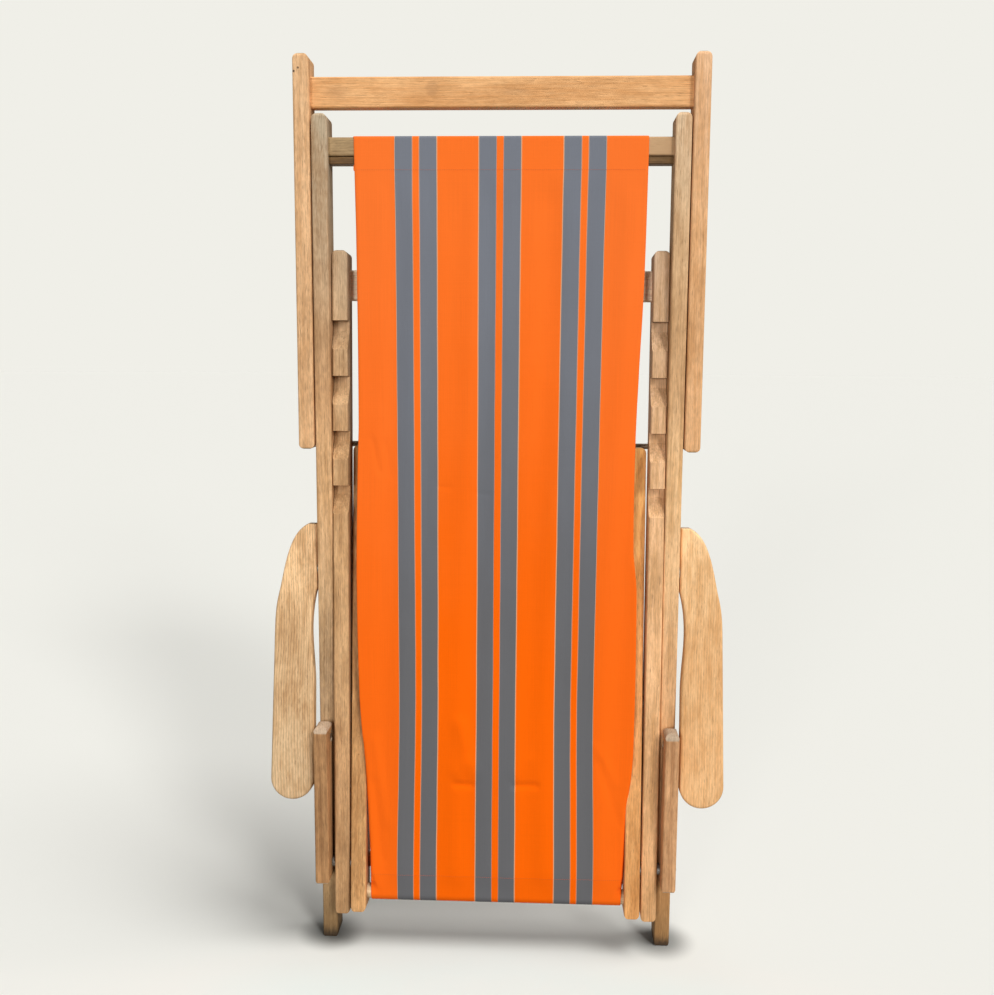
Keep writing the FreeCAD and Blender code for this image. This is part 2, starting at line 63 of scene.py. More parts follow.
# Tint painted on the floor just in front of the sling against its orange glow, set for the view at rest
glow_centre = (0.0, -0.19, 0.0)
glow_reach = (0.42, 0.14, 1.0)
glow_tint = (0.888, 0.997, 1.02)
glow_fade = (0.50, 1.25)
# Painted contact shadow on the floor under each foot
foot_places = ((-0.2775, 0.0, 0.0), (0.2775, 0.0, 0.0))
foot_reach = (0.050, 0.055, 1.0)
foot_shadow_darkness = 0.40
foot_fade = (0.30, 1.30)

# Cloth
cloth_thickness = 0.0011
cloth_play = 0.0004
cloth_step = 0.0040
thin_orange = 0.0105
gray_stripe = 0.0272
wide_orange = 0.0645
cream_line = 0.0013
# Stripes from the middle of the sling outwards: width, whether gray, and strength of the cream line
# along the outer edge
stripes = (
    (thin_orange / 2, False, 0.5),
    (gray_stripe, True, 1.0),
    (wide_orange, False, 1.0),
    (gray_stripe, True, 0.5),
    (thin_orange, False, 0.5),
    (gray_stripe, True, 1.0),
    (wide_orange, False, 0.0),
)
yarn_gap = 0.00085

# The sling's hems and its path round the head rail and the dowel
top_hem_drop = 0.0095
top_hem_flap = 0.0115
low_hem_rise = 0.0345
low_hem_flap = 0.0370
hem_gap = cloth_thickness * 1.15
head_corner = 0.0030
corner_steps = 4
batten_turn = 0.0028
batten_lead = 0.0030
dowel_wrap_end = 378
dowel_steps = 26
sleeve_rise = 0.008

# How the sling draws in under its own pull, and how its edges fold back
gather_most = 0.041
gather_low = 0.013
gather_height = 0.425
gather_power = 0.75
tuck_radius = 0.0018
tuck_ease = 0.0030
flap_low = 80.0
flap_high = 118.0
flap_change_height = 0.26
flap_change_reach = 0.08
fold_end_reach = 0.040
# Reach of the sling's two edges from its middle, set after the photograph: height and distance
left_edge = ((1.29, 0.2255), (1.15, 0.2227), (0.87, 0.2202), (0.80, 0.2220), (0.62, 0.2247),
             (0.43, 0.2215), (0.37, 0.2175), (0.31, 0.2120), (0.25, 0.2080), (0.15, 0.2038),
             (0.08, 0.2036))
right_edge = ((1.29, 0.2266), (1.10, 0.2240), (0.95, 0.2190), (0.84, 0.2156), (0.67, 0.2160),
              (0.60, 0.2218), (0.35, 0.2218), (0.29, 0.2180), (0.25, 0.2115), (0.16, 0.2090),
              (0.08, 0.2055))

# Relief of the taut face: the belly low on it, ripples, a slow drift, and the shares of its height
# over which they come in at the top and go out at the bottom
belly_depth = 0.0045
belly_height = 0.33
belly_spread = 0.17
belly_turn = 1.35
# Ripples: depth, waves across, phase, and the swing, waves and phase of their wander up the face
ripples = (
    (0.0007, 78.0, 0.0, 1.2, 4.1, 0.0),
    (0.0005, 131.0, 2.0, 1.7, 3.0, 1.0),
)
drift_depth = 0.0012
drift_up = 9.0
drift_slant = 7.0
drift_across = 9.0
drift_phase = 0.6
relief_in = 0.05
relief_out = 0.04
# Creases on the face: start and end as (x, z), height of the ridge, half width
creases = (
    (-0.070, 0.285, -0.036, 0.283, -0.0026, 0.0052),
    (0.028, 0.284, 0.072, 0.285, -0.0023, 0.0050),
    (-0.062, 0.395, -0.037, 0.300, 0.0024, 0.0130),
    (-0.070, 0.300, -0.045, 0.330, 0.0015, 0.0100),
    (0.030, 0.300, 0.060, 0.335, 0.0011, 0.0110),
    (-0.204, 0.845, -0.191, 0.788, -0.0010, 0.0040),
    (-0.183, 0.840, -0.174, 0.780, -0.0006, 0.0045),
    (-0.098, 0.768, -0.072, 0.766, -0.0007, 0.0030),
    (-0.034, 0.758, -0.012, 0.757, -0.0007, 0.0030),
    (0.165, 0.355, 0.205, 0.285, 0.0007, 0.0070),
    (0.172, 0.330, 0.208, 0.215, -0.0008, 0.0060),
    (-0.205, 0.360, -0.180, 0.210, 0.0010, 0.0080),
    (-0.205, 0.290, -0.188, 0.150, -0.0010, 0.0060),
)

# Stitches
stitch_pitch = 0.0034
stitch_radius = 0.00020
stitch_share = 0.72
stitch_margin = 0.004
stitch_slack = 0.00012
stitch_steps = 5
stitch_sides = 6
stitch_arch = 0.9
stitch_sink = 0.35
stitch_end_width = 0.55
random_seed = 7

# Wood: how far a piece's seed shifts its texture, and the bends of its grain
seed_shift = (0.37, 0.61, 1.93)
bend_scale = (9.0, 9.0, 3.2)
wood_roughness = 0.66
# Noises in wood: scale across and along the grain, detail, roughness
wood_noises = {
    "fibre": (620.0, 26.0, 4.0, 0.62),
    "fleck": (330.0, 85.0, 3.0, 0.60),
    "patch": (75.0, 24.0, 3.0, 0.60),
    "cloud": (22.0, 7.5, 3.0, 0.60),
    "dash": (560.0, 62.0, 2.0, 0.50),
    "streak": (170.0, 5.0, 3.0, 0.60),
}
# Share of early wood from the inside of a year ring to its outside
early_wood = ((0.0, 1.0), (0.30, 0.5), (0.75, 0.12), (1.0, 0.0))
pore_colour = (104, 70, 38)
damp_and_shade_colour = (112, 84, 50)
grime_and_shadow_colour = (48, 37, 25)
nail_colour = (58, 42, 30)
smudge_colour = (150, 108, 72)
rust_spot_colour = (128, 78, 40)
# Heights at which the damp stain with painted shade, and the grime with painted contact shadow, have
# gone, and at which they are full
damp_and_shade_heights = (0.20, 0.045)
grime_and_shadow_heights = (0.030, 0.008)
# Height at which the scale of the painted light, shade and weathered tone ends, and the largest factor
# that it can hold
painted_light_height = 1.5
painted_light_most = 2.0
# Height factor that leaves a colour as it is, with no painted light or shade
plain = (1.0, 1.0, 1.0)

# Steel
rust_colour = (118, 70, 40)

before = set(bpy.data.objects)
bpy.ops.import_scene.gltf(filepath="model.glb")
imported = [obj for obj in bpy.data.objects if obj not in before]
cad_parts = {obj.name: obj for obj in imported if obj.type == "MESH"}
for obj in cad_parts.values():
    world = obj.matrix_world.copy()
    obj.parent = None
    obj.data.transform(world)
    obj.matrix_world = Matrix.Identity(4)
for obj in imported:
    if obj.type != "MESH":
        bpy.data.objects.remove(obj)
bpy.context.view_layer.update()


def linear(colour):
    """sRGB colour as the linear values that shaders take, with alpha."""
    values = []
    for value in colour:
        values.append(value / 12.92 if value <= 0.04045 else ((value + 0.055) / 1.055) ** 2.4)
    return (*values, 1.0)


def rgb(red, green, blue):
    """Linear colour from 8-bit sRGB numbers."""
    return linear((red / 255, green / 255, blue / 255))


class Graph:
    """The node tree of one material, built node by node."""

    def __init__(self, name):
        self.material = bpy.data.materials.new(name)
        self.material.use_nodes = True
        self.tree = self.material.node_tree
        self.shader = self.tree.nodes["Principled BSDF"]

    def node(self, kind, *values, **settings):
        """Adds a node; values fill its inputs in order, as sockets or constants."""
        item = self.tree.nodes.new(kind)
        for key, value in settings.items():
            setattr(item, key, value)
        for index, value in enumerate(values):
            if value is not None:
                self.feed(item.inputs[index], value)
        return item

    def feed(self, socket, value):
        if isinstance(value, bpy.types.NodeSocket):
            self.tree.links.new(value, socket)
        else:
            socket.default_value = value

    def math(self, operation, *values, clamp=False):
        return self.node("ShaderNodeMath", *values, operation=operation, use_clamp=clamp).outputs[0]

    def vector(self, operation, *values):
        item = self.node("ShaderNodeVectorMath", *values, operation=operation)
        return item.outputs[1 if operation == "LENGTH" else 0]

    def mix(self, factor, low, high, blend_type="MIX"):
        item = self.node("ShaderNodeMix", data_type="RGBA", blend_type=blend_type)
        self.feed(item.inputs[0], factor)
        self.feed(item.inputs[6], low)
        self.feed(item.inputs[7], high)
        return item.outputs[2]

    def noise(self, vector, scale, detail=2.0, roughness=0.5, output=0):
        item = self.node("ShaderNodeTexNoise")
        self.feed(item.inputs["Vector"], vector)
        self.feed(item.inputs["Scale"], scale)
        self.feed(item.inputs["Detail"], detail)
        self.feed(item.inputs["Roughness"], roughness)
        return item.outputs[output]

    def range(self, value, low, high, to_low=0.0, to_high=1.0):
        """Smooth step of a value between two limits."""
        item = self.node("ShaderNodeMapRange", interpolation_type="SMOOTHSTEP")
        for socket, number in zip(item.inputs[:5], (value, low, high, to_low, to_high)):
            self.feed(socket, number)
        return item.outputs[0]

    def ramp(self, value, stops, interpolation="LINEAR"):
        item = self.node("ShaderNodeValToRGB", value)
        item.color_ramp.interpolation = interpolation
        elements = item.color_ramp.elements
        while len(elements) < len(stops):
            elements.new(0.5)
        for element, (place, colour) in zip(elements, stops):
            element.position = place
            element.color = colour
        return item.outputs[0]

    def bump(self, height, strength, distance):
        """Sets the shader's normal from a height."""
        item = self.node("ShaderNodeBump")
        self.feed(item.inputs["Strength"], strength)
        self.feed(item.inputs["Distance"], distance)
        self.feed(item.inputs["Height"], height)
        self.feed(self.shader.inputs["Normal"], item.outputs[0])

    def shade(self, colour, value):
        """Multiplies a colour by one number."""
        gray = self.node("ShaderNodeCombineXYZ", value, value, value).outputs[0]
        return self.mix(1.0, colour, gray, "MULTIPLY")

    def reach(self, place, centre, sizes):
        """Distance from a centre, where 1 is the half size along each axis."""
        offset = self.vector("DIVIDE", self.vector("SUBTRACT", place, centre), sizes)
        return self.vector("LENGTH", offset)


def gray_level(value):
    """Gray of a mask or a ramp."""
    return (value, value, value, 1.0)


def wood_texture(graph, parts, grain, seed, pith, ring_gap, wave):
    """Noises along the grain, the share of early wood in the year rings, and the open pores."""
    order = (0, 1, 2) if grain == "Z" else (2, 1, 0)
    turned = graph.node("ShaderNodeCombineXYZ", *[parts[index] for index in order]).outputs[0]
    shift = tuple(seed * step for step in seed_shift)
    shifted = graph.vector("ADD", turned, shift)
    wander = graph.noise(graph.vector("MULTIPLY", shifted, bend_scale), 1.0, output=1)
    wander = graph.vector("SUBTRACT", wander, (0.5, 0.5, 0.5))
    bent = graph.vector("ADD", shifted, graph.vector("MULTIPLY", wander, (wave, wave, 0.0)))

    texture = {}
    for kind, (across, along, detail, roughness) in wood_noises.items():
        grown = shifted if kind == "cloud" else bent
        scaled = graph.vector("MULTIPLY", grown, (across, across, along))
        texture[kind] = graph.noise(scaled, 1.0, detail, roughness)

    centre = (shift[0] + pith[0], shift[1] + pith[1], 0.0)
    spoke = graph.vector("MULTIPLY", graph.vector("SUBTRACT", bent, centre), (1.0, 1.0, 0.0))
    ring = graph.math("FRACT", graph.math("DIVIDE", graph.vector("LENGTH", spoke), ring_gap))
    texture["early"] = graph.ramp(ring, [(place, gray_level(share)) for place, share in early_wood])

    dash = graph.range(texture["dash"], 0.57, 0.68)
    crowd = graph.range(texture["patch"], 0.42, 0.62, 0.0, 0.5)
    crowd = graph.math("MULTIPLY_ADD", texture["early"], 0.6, crowd)
    texture["pore"] = graph.math("MULTIPLY", dash, crowd, clamp=True)
    return texture


def wood_tone(graph, texture):
    """Where a piece is pale and where it is dark, in streaks along the grain."""
    tone = graph.math("MULTIPLY", texture["cloud"], 0.33)
    tone = graph.math("MULTIPLY_ADD", texture["patch"], 0.22, tone)
    tone = graph.math("MULTIPLY_ADD", texture["streak"], 0.45, tone)
    return graph.range(tone, 0.36, 0.64)


def wood_shade(graph, texture, flecks, patches, rings):
    """Factor on any colour of the piece, from its flecks, fibres, rings and patches."""
    shade = graph.range(texture["fleck"], 0.30, 0.70, 1.0 - 0.24 * flecks, 1.0 + 0.20 * flecks)
    shade = graph.math("MULTIPLY", shade, graph.range(texture["fibre"], 0.30, 0.70, 0.91, 1.08))
    ring = graph.math("MULTIPLY_ADD", texture["early"], -rings, 1.0 + 0.42 * rings)
    shade = graph.math("MULTIPLY", shade, ring)
    drift = graph.range(texture["cloud"], 0.30, 0.70, 1.0 - 0.26 * patches, 1.0 + 0.17 * patches)
    return graph.math("MULTIPLY", shade, drift)


def weathered(graph, texture, colour, bleached, height, gray, low, high):
    """Turns a colour towards bleached gray, more and more from one height to another."""
    rise = graph.range(height, low, high)
    weather = graph.math("ADD", texture["cloud"], graph.math("MULTIPLY", texture["fleck"], 0.4))
    weather = graph.math("MULTIPLY_ADD", graph.range(weather, 0.5, 0.85), 0.6, gray)
    return graph.mix(graph.math("MULTIPLY", rise, weather, clamp=True), colour, bleached)


def paint_light_and_weather(graph, colour, height, shades):
    """Multiplies a colour by factors on red, green and blue that change with the height: painted light
    and shade, with some weathered tone.
    """
    stops = []
    for z, factor in shades:
        stops.append((z / painted_light_height, tuple(value / painted_light_most for value in factor) + (1.0,)))
    factor = graph.ramp(graph.math("DIVIDE", height, painted_light_height), stops)
    colour = graph.mix(1.0, colour, factor, "MULTIPLY")
    return graph.mix(1.0, colour, (painted_light_most, painted_light_most, painted_light_most, 1.0), "MULTIPLY")


def darken_foot(graph, texture, colour, height, strength):
    """Darker towards the floor: damp stain with painted contact shade, and on the lowest edge grime
    with a painted contact shadow.
    """
    uneven_height = graph.math("MULTIPLY_ADD", texture["cloud"], 0.09, height)
    damp_and_shade = graph.range(uneven_height, *damp_and_shade_heights, 0.0, strength)
    colour = graph.mix(damp_and_shade, colour, rgb(*damp_and_shade_colour))
    rough_height = graph.math("MULTIPLY_ADD", texture["fleck"], 0.012, height)
    grime_and_shadow = graph.range(rough_height, *grime_and_shadow_heights, 0.0, 0.92)
    return graph.mix(grime_and_shadow, colour, rgb(*grime_and_shadow_colour))


def marked(graph, texture, colour, place, marks):
    """Spots with uneven edges, such as nail heads, rust and smudges."""
    for middle, sizes, mark_colour, strength in marks:
        reach = graph.math("MULTIPLY_ADD", texture["patch"], 0.9, graph.reach(place, middle, sizes))
        spot = graph.range(reach, 1.05, 1.75, strength, 0.0)
        colour = graph.mix(spot, colour, rgb(*mark_colour))
    return colour


def wood(name, light, dark, grain="Z", seed=0.0, pith=(0.055, 0.035), ring_gap=0.0034,
         patches=0.5, flecks=0.5, pores=0.5, gray=0.0, gray_low=0.0, gray_high=1.4,
         gray_colour=(150, 132, 108), end_colour=(176, 148, 116), end_edge=(0.62, 0.85),
         foot_stain=0.0, marks=(), shades=(), rings=0.12, wave=0.014):
    """Ring-porous hardwood whose grain runs along X or Z.

    pith is the middle of the year rings, ring_gap the width of a ring, rings their contrast and
    wave the reach of their bends. patches, flecks and pores are strengths.
    gray is the share of weathered gray, which grows from the height gray_low to gray_high.
    end_edge is the slope, as the normal's share along the grain, where end grain begins and is full.
    marks are spots, each as its centre, its half sizes along X, Y and Z, colour and strength.
    The height factors on red, green and blue, each at its height, paint light and shade onto the piece,
    with some weathered tone; they were set against the photograph.
    """
    graph = Graph(name)
    coordinates = graph.node("ShaderNodeTexCoord").outputs
    place = coordinates["Object"]
    parts = graph.node("ShaderNodeSeparateXYZ", place).outputs
    height = parts[2]
    texture = wood_texture(graph, parts, grain, seed, pith, ring_gap, wave)
    shade = wood_shade(graph, texture, flecks, patches, rings)

    colour = graph.shade(graph.mix(wood_tone(graph, texture), dark, light), shade)
    if gray > 0:
        bleached = graph.shade(rgb(*gray_colour), shade)
        colour = weathered(graph, texture, colour, bleached, height, gray, gray_low, gray_high)
    normal = graph.node("ShaderNodeSeparateXYZ", coordinates["Normal"]).outputs
    facing = graph.math("ABSOLUTE", normal[2] if grain == "Z" else normal[0])
    end_grain = graph.shade(rgb(*end_colour), shade)
    colour = graph.mix(graph.range(facing, *end_edge), colour, end_grain)
    if shades:
        # Painted light and shade by height, with some weathered tone
        colour = paint_light_and_weather(graph, colour, height, shades)
    # Darker towards the floor: damp stain and grime, with painted contact shade
    if foot_stain > 0:
        colour = darken_foot(graph, texture, colour, height, foot_stain)
    pore_share = graph.math("MULTIPLY", texture["pore"], 0.75 * pores, clamp=True)
    colour = graph.mix(pore_share, colour, rgb(*pore_colour))
    colour = marked(graph, texture, colour, place, marks)
    graph.feed(graph.shader.inputs["Base Color"], colour)
    graph.shader.inputs["Specular IOR Level"].default_value = 0.3
    rough = graph.range(texture["fibre"], 0.3, 0.7, wood_roughness + 0.1, wood_roughness - 0.06)
    graph.feed(graph.shader.inputs["Roughness"], rough)

    relief = graph.math("MULTIPLY", texture["fibre"], 0.5)
    relief = graph.math("MULTIPLY_ADD", texture["pore"], -0.9, relief)
    relief = graph.math("MULTIPLY_ADD", texture["fleck"], 0.5, relief)
    relief = graph.math("MULTIPLY_ADD", texture["early"], -0.2, relief)
    graph.bump(relief, 0.55, 0.0007)
    return graph.material


def steel(name, colour, rust):
    """Dull plated steel with tarnish and a little rust."""
    graph = Graph(name)
    place = graph.node("ShaderNodeTexCoord").outputs["Object"]
    fine = graph.noise(place, 420.0, 4.0, 0.6)
    broad = graph.noise(place, 70.0, 3.0, 0.6)
    tarnished = rgb(*[value * 0.72 for value in colour])
    base = graph.mix(graph.range(fine, 0.35, 0.7), tarnished, rgb(*colour))
    spots = graph.range(graph.math("ADD", broad, graph.math("MULTIPLY", fine, 0.5)), 0.70, 0.95)
    spots = graph.math("MULTIPLY", spots, rust)
    base = graph.mix(spots, base, rgb(*rust_colour))
    graph.feed(graph.shader.inputs["Base Color"], base)
    graph.feed(graph.shader.inputs["Metallic"], graph.math("MULTIPLY_ADD", spots, -0.8, 0.95))
    graph.feed(graph.shader.inputs["Roughness"], graph.range(fine, 0.3, 0.7, 0.38, 0.56))
    graph.bump(fine, 0.25, 0.0003)
    return graph.material


def stripe_masks(graph, share, half_width):
    """Where the cloth is gray and where its cream lines run, from the share of its half width."""
    gray_stops = []
    line_stops = [(0.0, gray_level(0.0))]
    edge = 0.0
    for width, is_gray, line in stripes:
        gray_stops.append((edge / half_width, gray_level(1.0 if is_gray else 0.0)))
        edge += width
        if line > 0:
            line_stops.append(((edge - cream_line / 2) / half_width, gray_level(line)))
            line_stops.append(((edge + cream_line / 2) / half_width, gray_level(0.0)))
    return graph.ramp(share, gray_stops, "CONSTANT"), graph.ramp(share, line_stops, "CONSTANT")


def canvas_cloth(name, half_width, fold_line):
    """Striped plain weave; the stripes and yarns follow the cloth's own coordinates.

    fold_line is the length along the cloth where its lower hem begins, which lies double and is painted
    slightly darker: painted shade for the light that shines through it less.
    """
    graph = Graph(name)
    cloth = graph.node("ShaderNodeUVMap", uv_map="cloth").outputs[0]
    across, along, _ = graph.node("ShaderNodeSeparateXYZ", cloth).outputs
    place = graph.node("ShaderNodeTexCoord").outputs["Object"]
    height = graph.node("ShaderNodeSeparateXYZ", place).outputs[2]

    waver = graph.noise(graph.vector("MULTIPLY", cloth, (40.0, 9.0, 0.0)), 1.0, 2.0)
    offset = graph.math("MULTIPLY", graph.math("SUBTRACT", waver, 0.5), 0.0012)
    reach = graph.math("ABSOLUTE", graph.math("ADD", across, offset))
    share = graph.math("DIVIDE", reach, half_width)
    gray_mask, line_mask = stripe_masks(graph, share, half_width)

    warp = graph.noise(graph.vector("MULTIPLY", cloth, (1150.0, 7.0, 0.0)), 1.0, 3.0, 0.6)
    weft = graph.noise(graph.vector("MULTIPLY", cloth, (6.0, 900.0, 0.0)), 1.0, 3.0, 0.6)
    cloud = graph.noise(graph.vector("MULTIPLY", cloth, (9.0, 5.0, 0.0)), 1.0, 4.0, 0.55)
    fade = graph.range(graph.math("ADD", height, graph.math("MULTIPLY", cloud, 0.3)), 0.55, 1.45)
    outer = graph.range(share, 0.66, 0.74)

    low_orange = graph.mix(outer, rgb(253, 103, 0), rgb(253, 107, 18))
    high_orange = graph.mix(outer, rgb(254, 118, 40), rgb(253, 120, 46))
    orange = graph.mix(fade, low_orange, high_orange)
    gray = graph.mix(fade, rgb(104, 104, 106), rgb(121, 125, 134))
    colour = graph.mix(gray_mask, orange, gray)
    colour = graph.mix(graph.math("MULTIPLY", line_mask, 0.52), colour, rgb(238, 190, 142))
    yarn = graph.math("ADD", graph.math("MULTIPLY", warp, 0.13), graph.math("MULTIPLY", weft, 0.06))
    yarn = graph.math("MULTIPLY_ADD", cloud, 0.05, yarn)
    yarn = graph.math("ADD", yarn, 0.88)
    colour = graph.shade(colour, yarn)
    # Painted shade on the doubled hem, which lets less light through
    doubled_hem_shade = graph.range(along, fold_line, fold_line + 0.0015, 1.0, 0.97)
    colour = graph.shade(colour, doubled_hem_shade)
    graph.feed(graph.shader.inputs["Base Color"], colour)
    graph.shader.inputs["Roughness"].default_value = 0.92
    graph.shader.inputs["Specular IOR Level"].default_value = 0.08
    graph.shader.inputs["Sheen Weight"].default_value = 0.02
    graph.shader.inputs["Sheen Roughness"].default_value = 0.5

    over = graph.math("SINE", graph.math("MULTIPLY", across, math.tau / yarn_gap))
    under = graph.math("SINE", graph.math("MULTIPLY", along, math.tau / yarn_gap))
    weave = graph.math("MULTIPLY", over, under)
    relief = graph.math("MULTIPLY_ADD", weave, 0.28, graph.math("MULTIPLY", warp, 0.9))
    relief = graph.math("MULTIPLY_ADD", weft, 0.5, relief)
    graph.bump(relief, 0.35, 0.00022)
    return graph.material


def thread(name, colour):
    """Twisted sewing thread."""
    graph = Graph(name)
    place = graph.node("ShaderNodeTexCoord").outputs["Object"]
    twist = graph.noise(place, 2600.0, 2.0)
    base = graph.mix(twist, rgb(*[value * 0.8 for value in colour]), rgb(*colour))
    graph.feed(graph.shader.inputs["Base Color"], base)
    graph.shader.inputs["Roughness"].default_value = 0.8
    graph.bump(twist, 0.4, 0.0002)
    return graph.material


def make_mesh(name, points, faces, material, smooth=True):
    mesh = bpy.data.meshes.new(name)
    mesh.from_pydata([tuple(point) for point in points], [], faces)
    mesh.materials.append(material)
    mesh.polygons.foreach_set("use_smooth", [smooth] * len(mesh.polygons))
    mesh.update()
    item = bpy.data.objects.new(name, mesh)
    bpy.context.scene.collection.objects.link(item)
    return item


def smooth_step(value):
    value = min(1.0, max(0.0, value))
    return value * value * (3 - 2 * value)


class Sling:
    """The cloth's path in the side view and its shape across, from the frame's boxes."""

    def __init__(self):
        head_low, head_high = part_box("head_rail")
        batten_low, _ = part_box("head_batten")
        dowel_low, dowel_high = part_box("canvas_dowel")
        self.half_width = sum(width for width, _, _ in stripes)
        clear = cloth_play + cloth_thickness / 2
        self.dowel_y = (dowel_low.y + dowel_high.y) / 2
        self.dowel_z = (dowel_low.z + dowel_high.z) / 2
        self.dowel_radius = (dowel_high.z - dowel_low.z) / 2 + clear
        self.front_y = head_low.y - clear
        self.back_y = head_high.y + clear
        self.top_z = head_high.z + clear
        self.low_z = batten_low.z - clear
        self.batten_z = batten_low.z
        front_low_y = self.dowel_y - self.dowel_radius
        self.slope = (front_low_y - self.front_y) / (self.dowel_z - self.top_z)
        self.stitch_z = self.batten_z - top_hem_drop
        self.low_stitch_z = self.dowel_z + low_hem_rise
        self.path = self.make_path()

    def front_at(self, z):
        """Place of the taut face at a height."""
        return self.front_y + self.slope * (z - self.top_z)

    def make_path(self):
        """Points (y, z) along the cloth, from the flap at the top to the flap at the bottom."""
        corner = head_corner
        points = []

        def line(start, end):
            length = math.dist(start, end)
            count = max(1, round(length / cloth_step))
            for index in range(count):
                t = index / count
                y = start[0] + (end[0] - start[0]) * t
                z = start[1] + (end[1] - start[1]) * t
                points.append((y, z))

        def arc(centre, radius, first, last, steps):
            for index in range(steps):
                angle = math.radians(first + (last - first) * index / steps)
                y = centre[0] + radius * math.cos(angle)
                z = centre[1] + radius * math.sin(angle)
                points.append((y, z))

        def inner(z):
            return (self.front_at(z) + hem_gap, z)

        flap_z = self.batten_z - top_hem_flap
        lead_z = self.low_z - batten_lead
        turned = (self.front_at(lead_z) + hem_gap + batten_turn, self.low_z)
        line(inner(flap_z), inner(lead_z))
        line(inner(lead_z), turned)
        line(turned, (self.back_y - corner, self.low_z))
        arc((self.back_y - corner, self.low_z + corner), corner, -90, 0, corner_steps)
        line((self.back_y, self.low_z + corner), (self.back_y, self.top_z - corner))
        arc((self.back_y - corner, self.top_z - corner), corner, 0, 90, corner_steps)
        line((self.back_y - corner, self.top_z), (self.front_y + corner, self.top_z))
        arc((self.front_y + corner, self.top_z - corner), corner, 90, 180, corner_steps)
        self.front_start = len(points)
        line((self.front_y, self.top_z - corner), (self.front_at(self.dowel_z), self.dowel_z))
        self.front_end = len(points)
        radius = self.dowel_radius
        arc((self.dowel_y, self.dowel_z), radius, 180, dowel_wrap_end, dowel_steps)
        leave = math.radians(dowel_wrap_end)
        start = (self.dowel_y + radius * math.cos(leave), self.dowel_z + radius * math.sin(leave))
        meet_z = self.dowel_z + radius + sleeve_rise
        end_z = self.dowel_z + low_hem_flap
        line(start, inner(meet_z))
        line(inner(meet_z), inner(end_z))
        points.append(inner(end_z))
        return points

    def sleeve_start(self):
        """Length of cloth from its upper end to where the lower hem is sewn on the face."""
        run = 0.0
        for index, (start, end) in enumerate(zip(self.path, self.path[1:])):
            if index >= self.front_start and end[1] <= self.low_stitch_z:
                break
            run += math.dist(start, end)
        return run

    def gather(self, z):
        """Share by which the cloth draws in under its own pull at a height."""
        if z >= gather_height:
            share = (self.stitch_z - z) / (self.stitch_z - gather_height)
            return gather_most * max(0.0, share) ** gather_power
        share = smooth_step((gather_height - z) / (gather_height - self.dowel_z))
        return gather_most + (gather_low - gather_most) * share

    def edge(self, side, z):
        """Reach of one edge of the cloth from the middle at a height."""
        points = left_edge if side < 0 else right_edge
        slopes = []
        for index in range(len(points)):
            before = points[max(0, index - 1)]
            after = points[min(len(points) - 1, index + 1)]
            slopes.append((after[1] - before[1]) / (after[0] - before[0]))
        if z >= points[0][0]:
            return points[0][1]
        for index in range(len(points) - 1):
            (z0, x0), (z1, x1) = points[index], points[index + 1]
            if z >= z1:
                t = (z - z0) / (z1 - z0)
                run = z1 - z0
                return (
                    (1 + 2 * t) * (1 - t) ** 2 * x0 + t * (1 - t) ** 2 * run * slopes[index]
                    + t * t * (3 - 2 * t) * x1 + t * t * (t - 1) * run * slopes[index + 1])
        return points[-1][1]

    def relief(self, u, z):
        """Distance by which the taut face stands forward of the straight line."""
        span = (self.stitch_z - z) / (self.stitch_z - self.dowel_z)
        if span <= 0 or span >= 1:
            return 0.0
        ease = smooth_step(span / relief_in) * smooth_step((1 - span) / relief_out)
        belly = belly_depth * math.exp(-((z - belly_height) / belly_spread) ** 2)
        total = belly * math.cos(u / self.half_width * belly_turn)
        for depth, waves, phase, swing, rises, start in ripples:
            total += depth * math.sin(u * waves + phase + swing * math.sin(z * rises + start))
        drift = drift_depth * math.sin(z * drift_up + u * drift_slant)
        total += drift * math.cos(u * drift_across - drift_phase)
        for x0, z0, x1, z1, depth, width in creases:
            total += crease(u, z, x0, z0, x1, z1, depth, width)
        return total * ease


def crease(x, z, x0, z0, x1, z1, depth, width):
    """Soft ridge or groove along a segment of the face."""
    dx, dz = x1 - x0, z1 - z0
    length = math.hypot(dx, dz)
    along = ((x - x0) * dx + (z - z0) * dz) / length
    off = ((x - x0) * dz - (z - z0) * dx) / length
    fade_in = smooth_step((along + width) / (2 * width))
    fade_out = smooth_step((length + width - along) / (2 * width))
    return depth * math.exp(-(off / width) ** 2) * (fade_in * fade_out)


def place_on_cloth(sling, u, y, z, on_front, on_wrap):
    """Point of the cloth for its coordinate u across and a path point (y, z).

    On the face and round the dowel the cloth draws in, and only its outer stripe takes up the
    difference between its own width and the edge, where it folds back.
    """
    side = 1.0 if u >= 0 else -1.0
    if not on_front and not on_wrap:
        return Vector((u, y, z))
    gather = sling.gather(z)
    x = abs(u) * (1 - gather)
    point_y = y - sling.relief(u, z) if on_front else y
    inside = (sling.half_width - wide_orange) * (1 - gather)
    if x <= inside:
        return Vector((side * x, point_y, z))
    outer = sling.half_width * (1 - gather)
    limit = sling.edge(side, z if on_front else sling.dowel_z)
    eased_x = inside + (x - inside) * (limit - inside) / (outer - inside)
    folded = smooth_step((outer - limit) / tuck_ease)
    folded *= 1 - smooth_step((sling.dowel_z + fold_end_reach - z) / fold_end_reach)
    excess = x - (limit - tuck_radius)
    if on_front and folded > 0:
        fold_x, fold_y = x, point_y
        if excess > 0:
            risen = smooth_step((z - flap_change_height) / flap_change_reach)
            turn = flap_low + (flap_high - flap_low) * risen
            angle = min(excess / tuck_radius, math.radians(turn))
            run = excess - angle * tuck_radius
            fold_x = limit - tuck_radius * (1 - math.sin(angle)) + run * math.cos(angle)
            fold_y = point_y + tuck_radius * (1 - math.cos(angle)) + run * math.sin(angle)
        eased_x += (fold_x - eased_x) * folded
        point_y += (fold_y - point_y) * folded
    return Vector((side * eased_x, point_y, z))


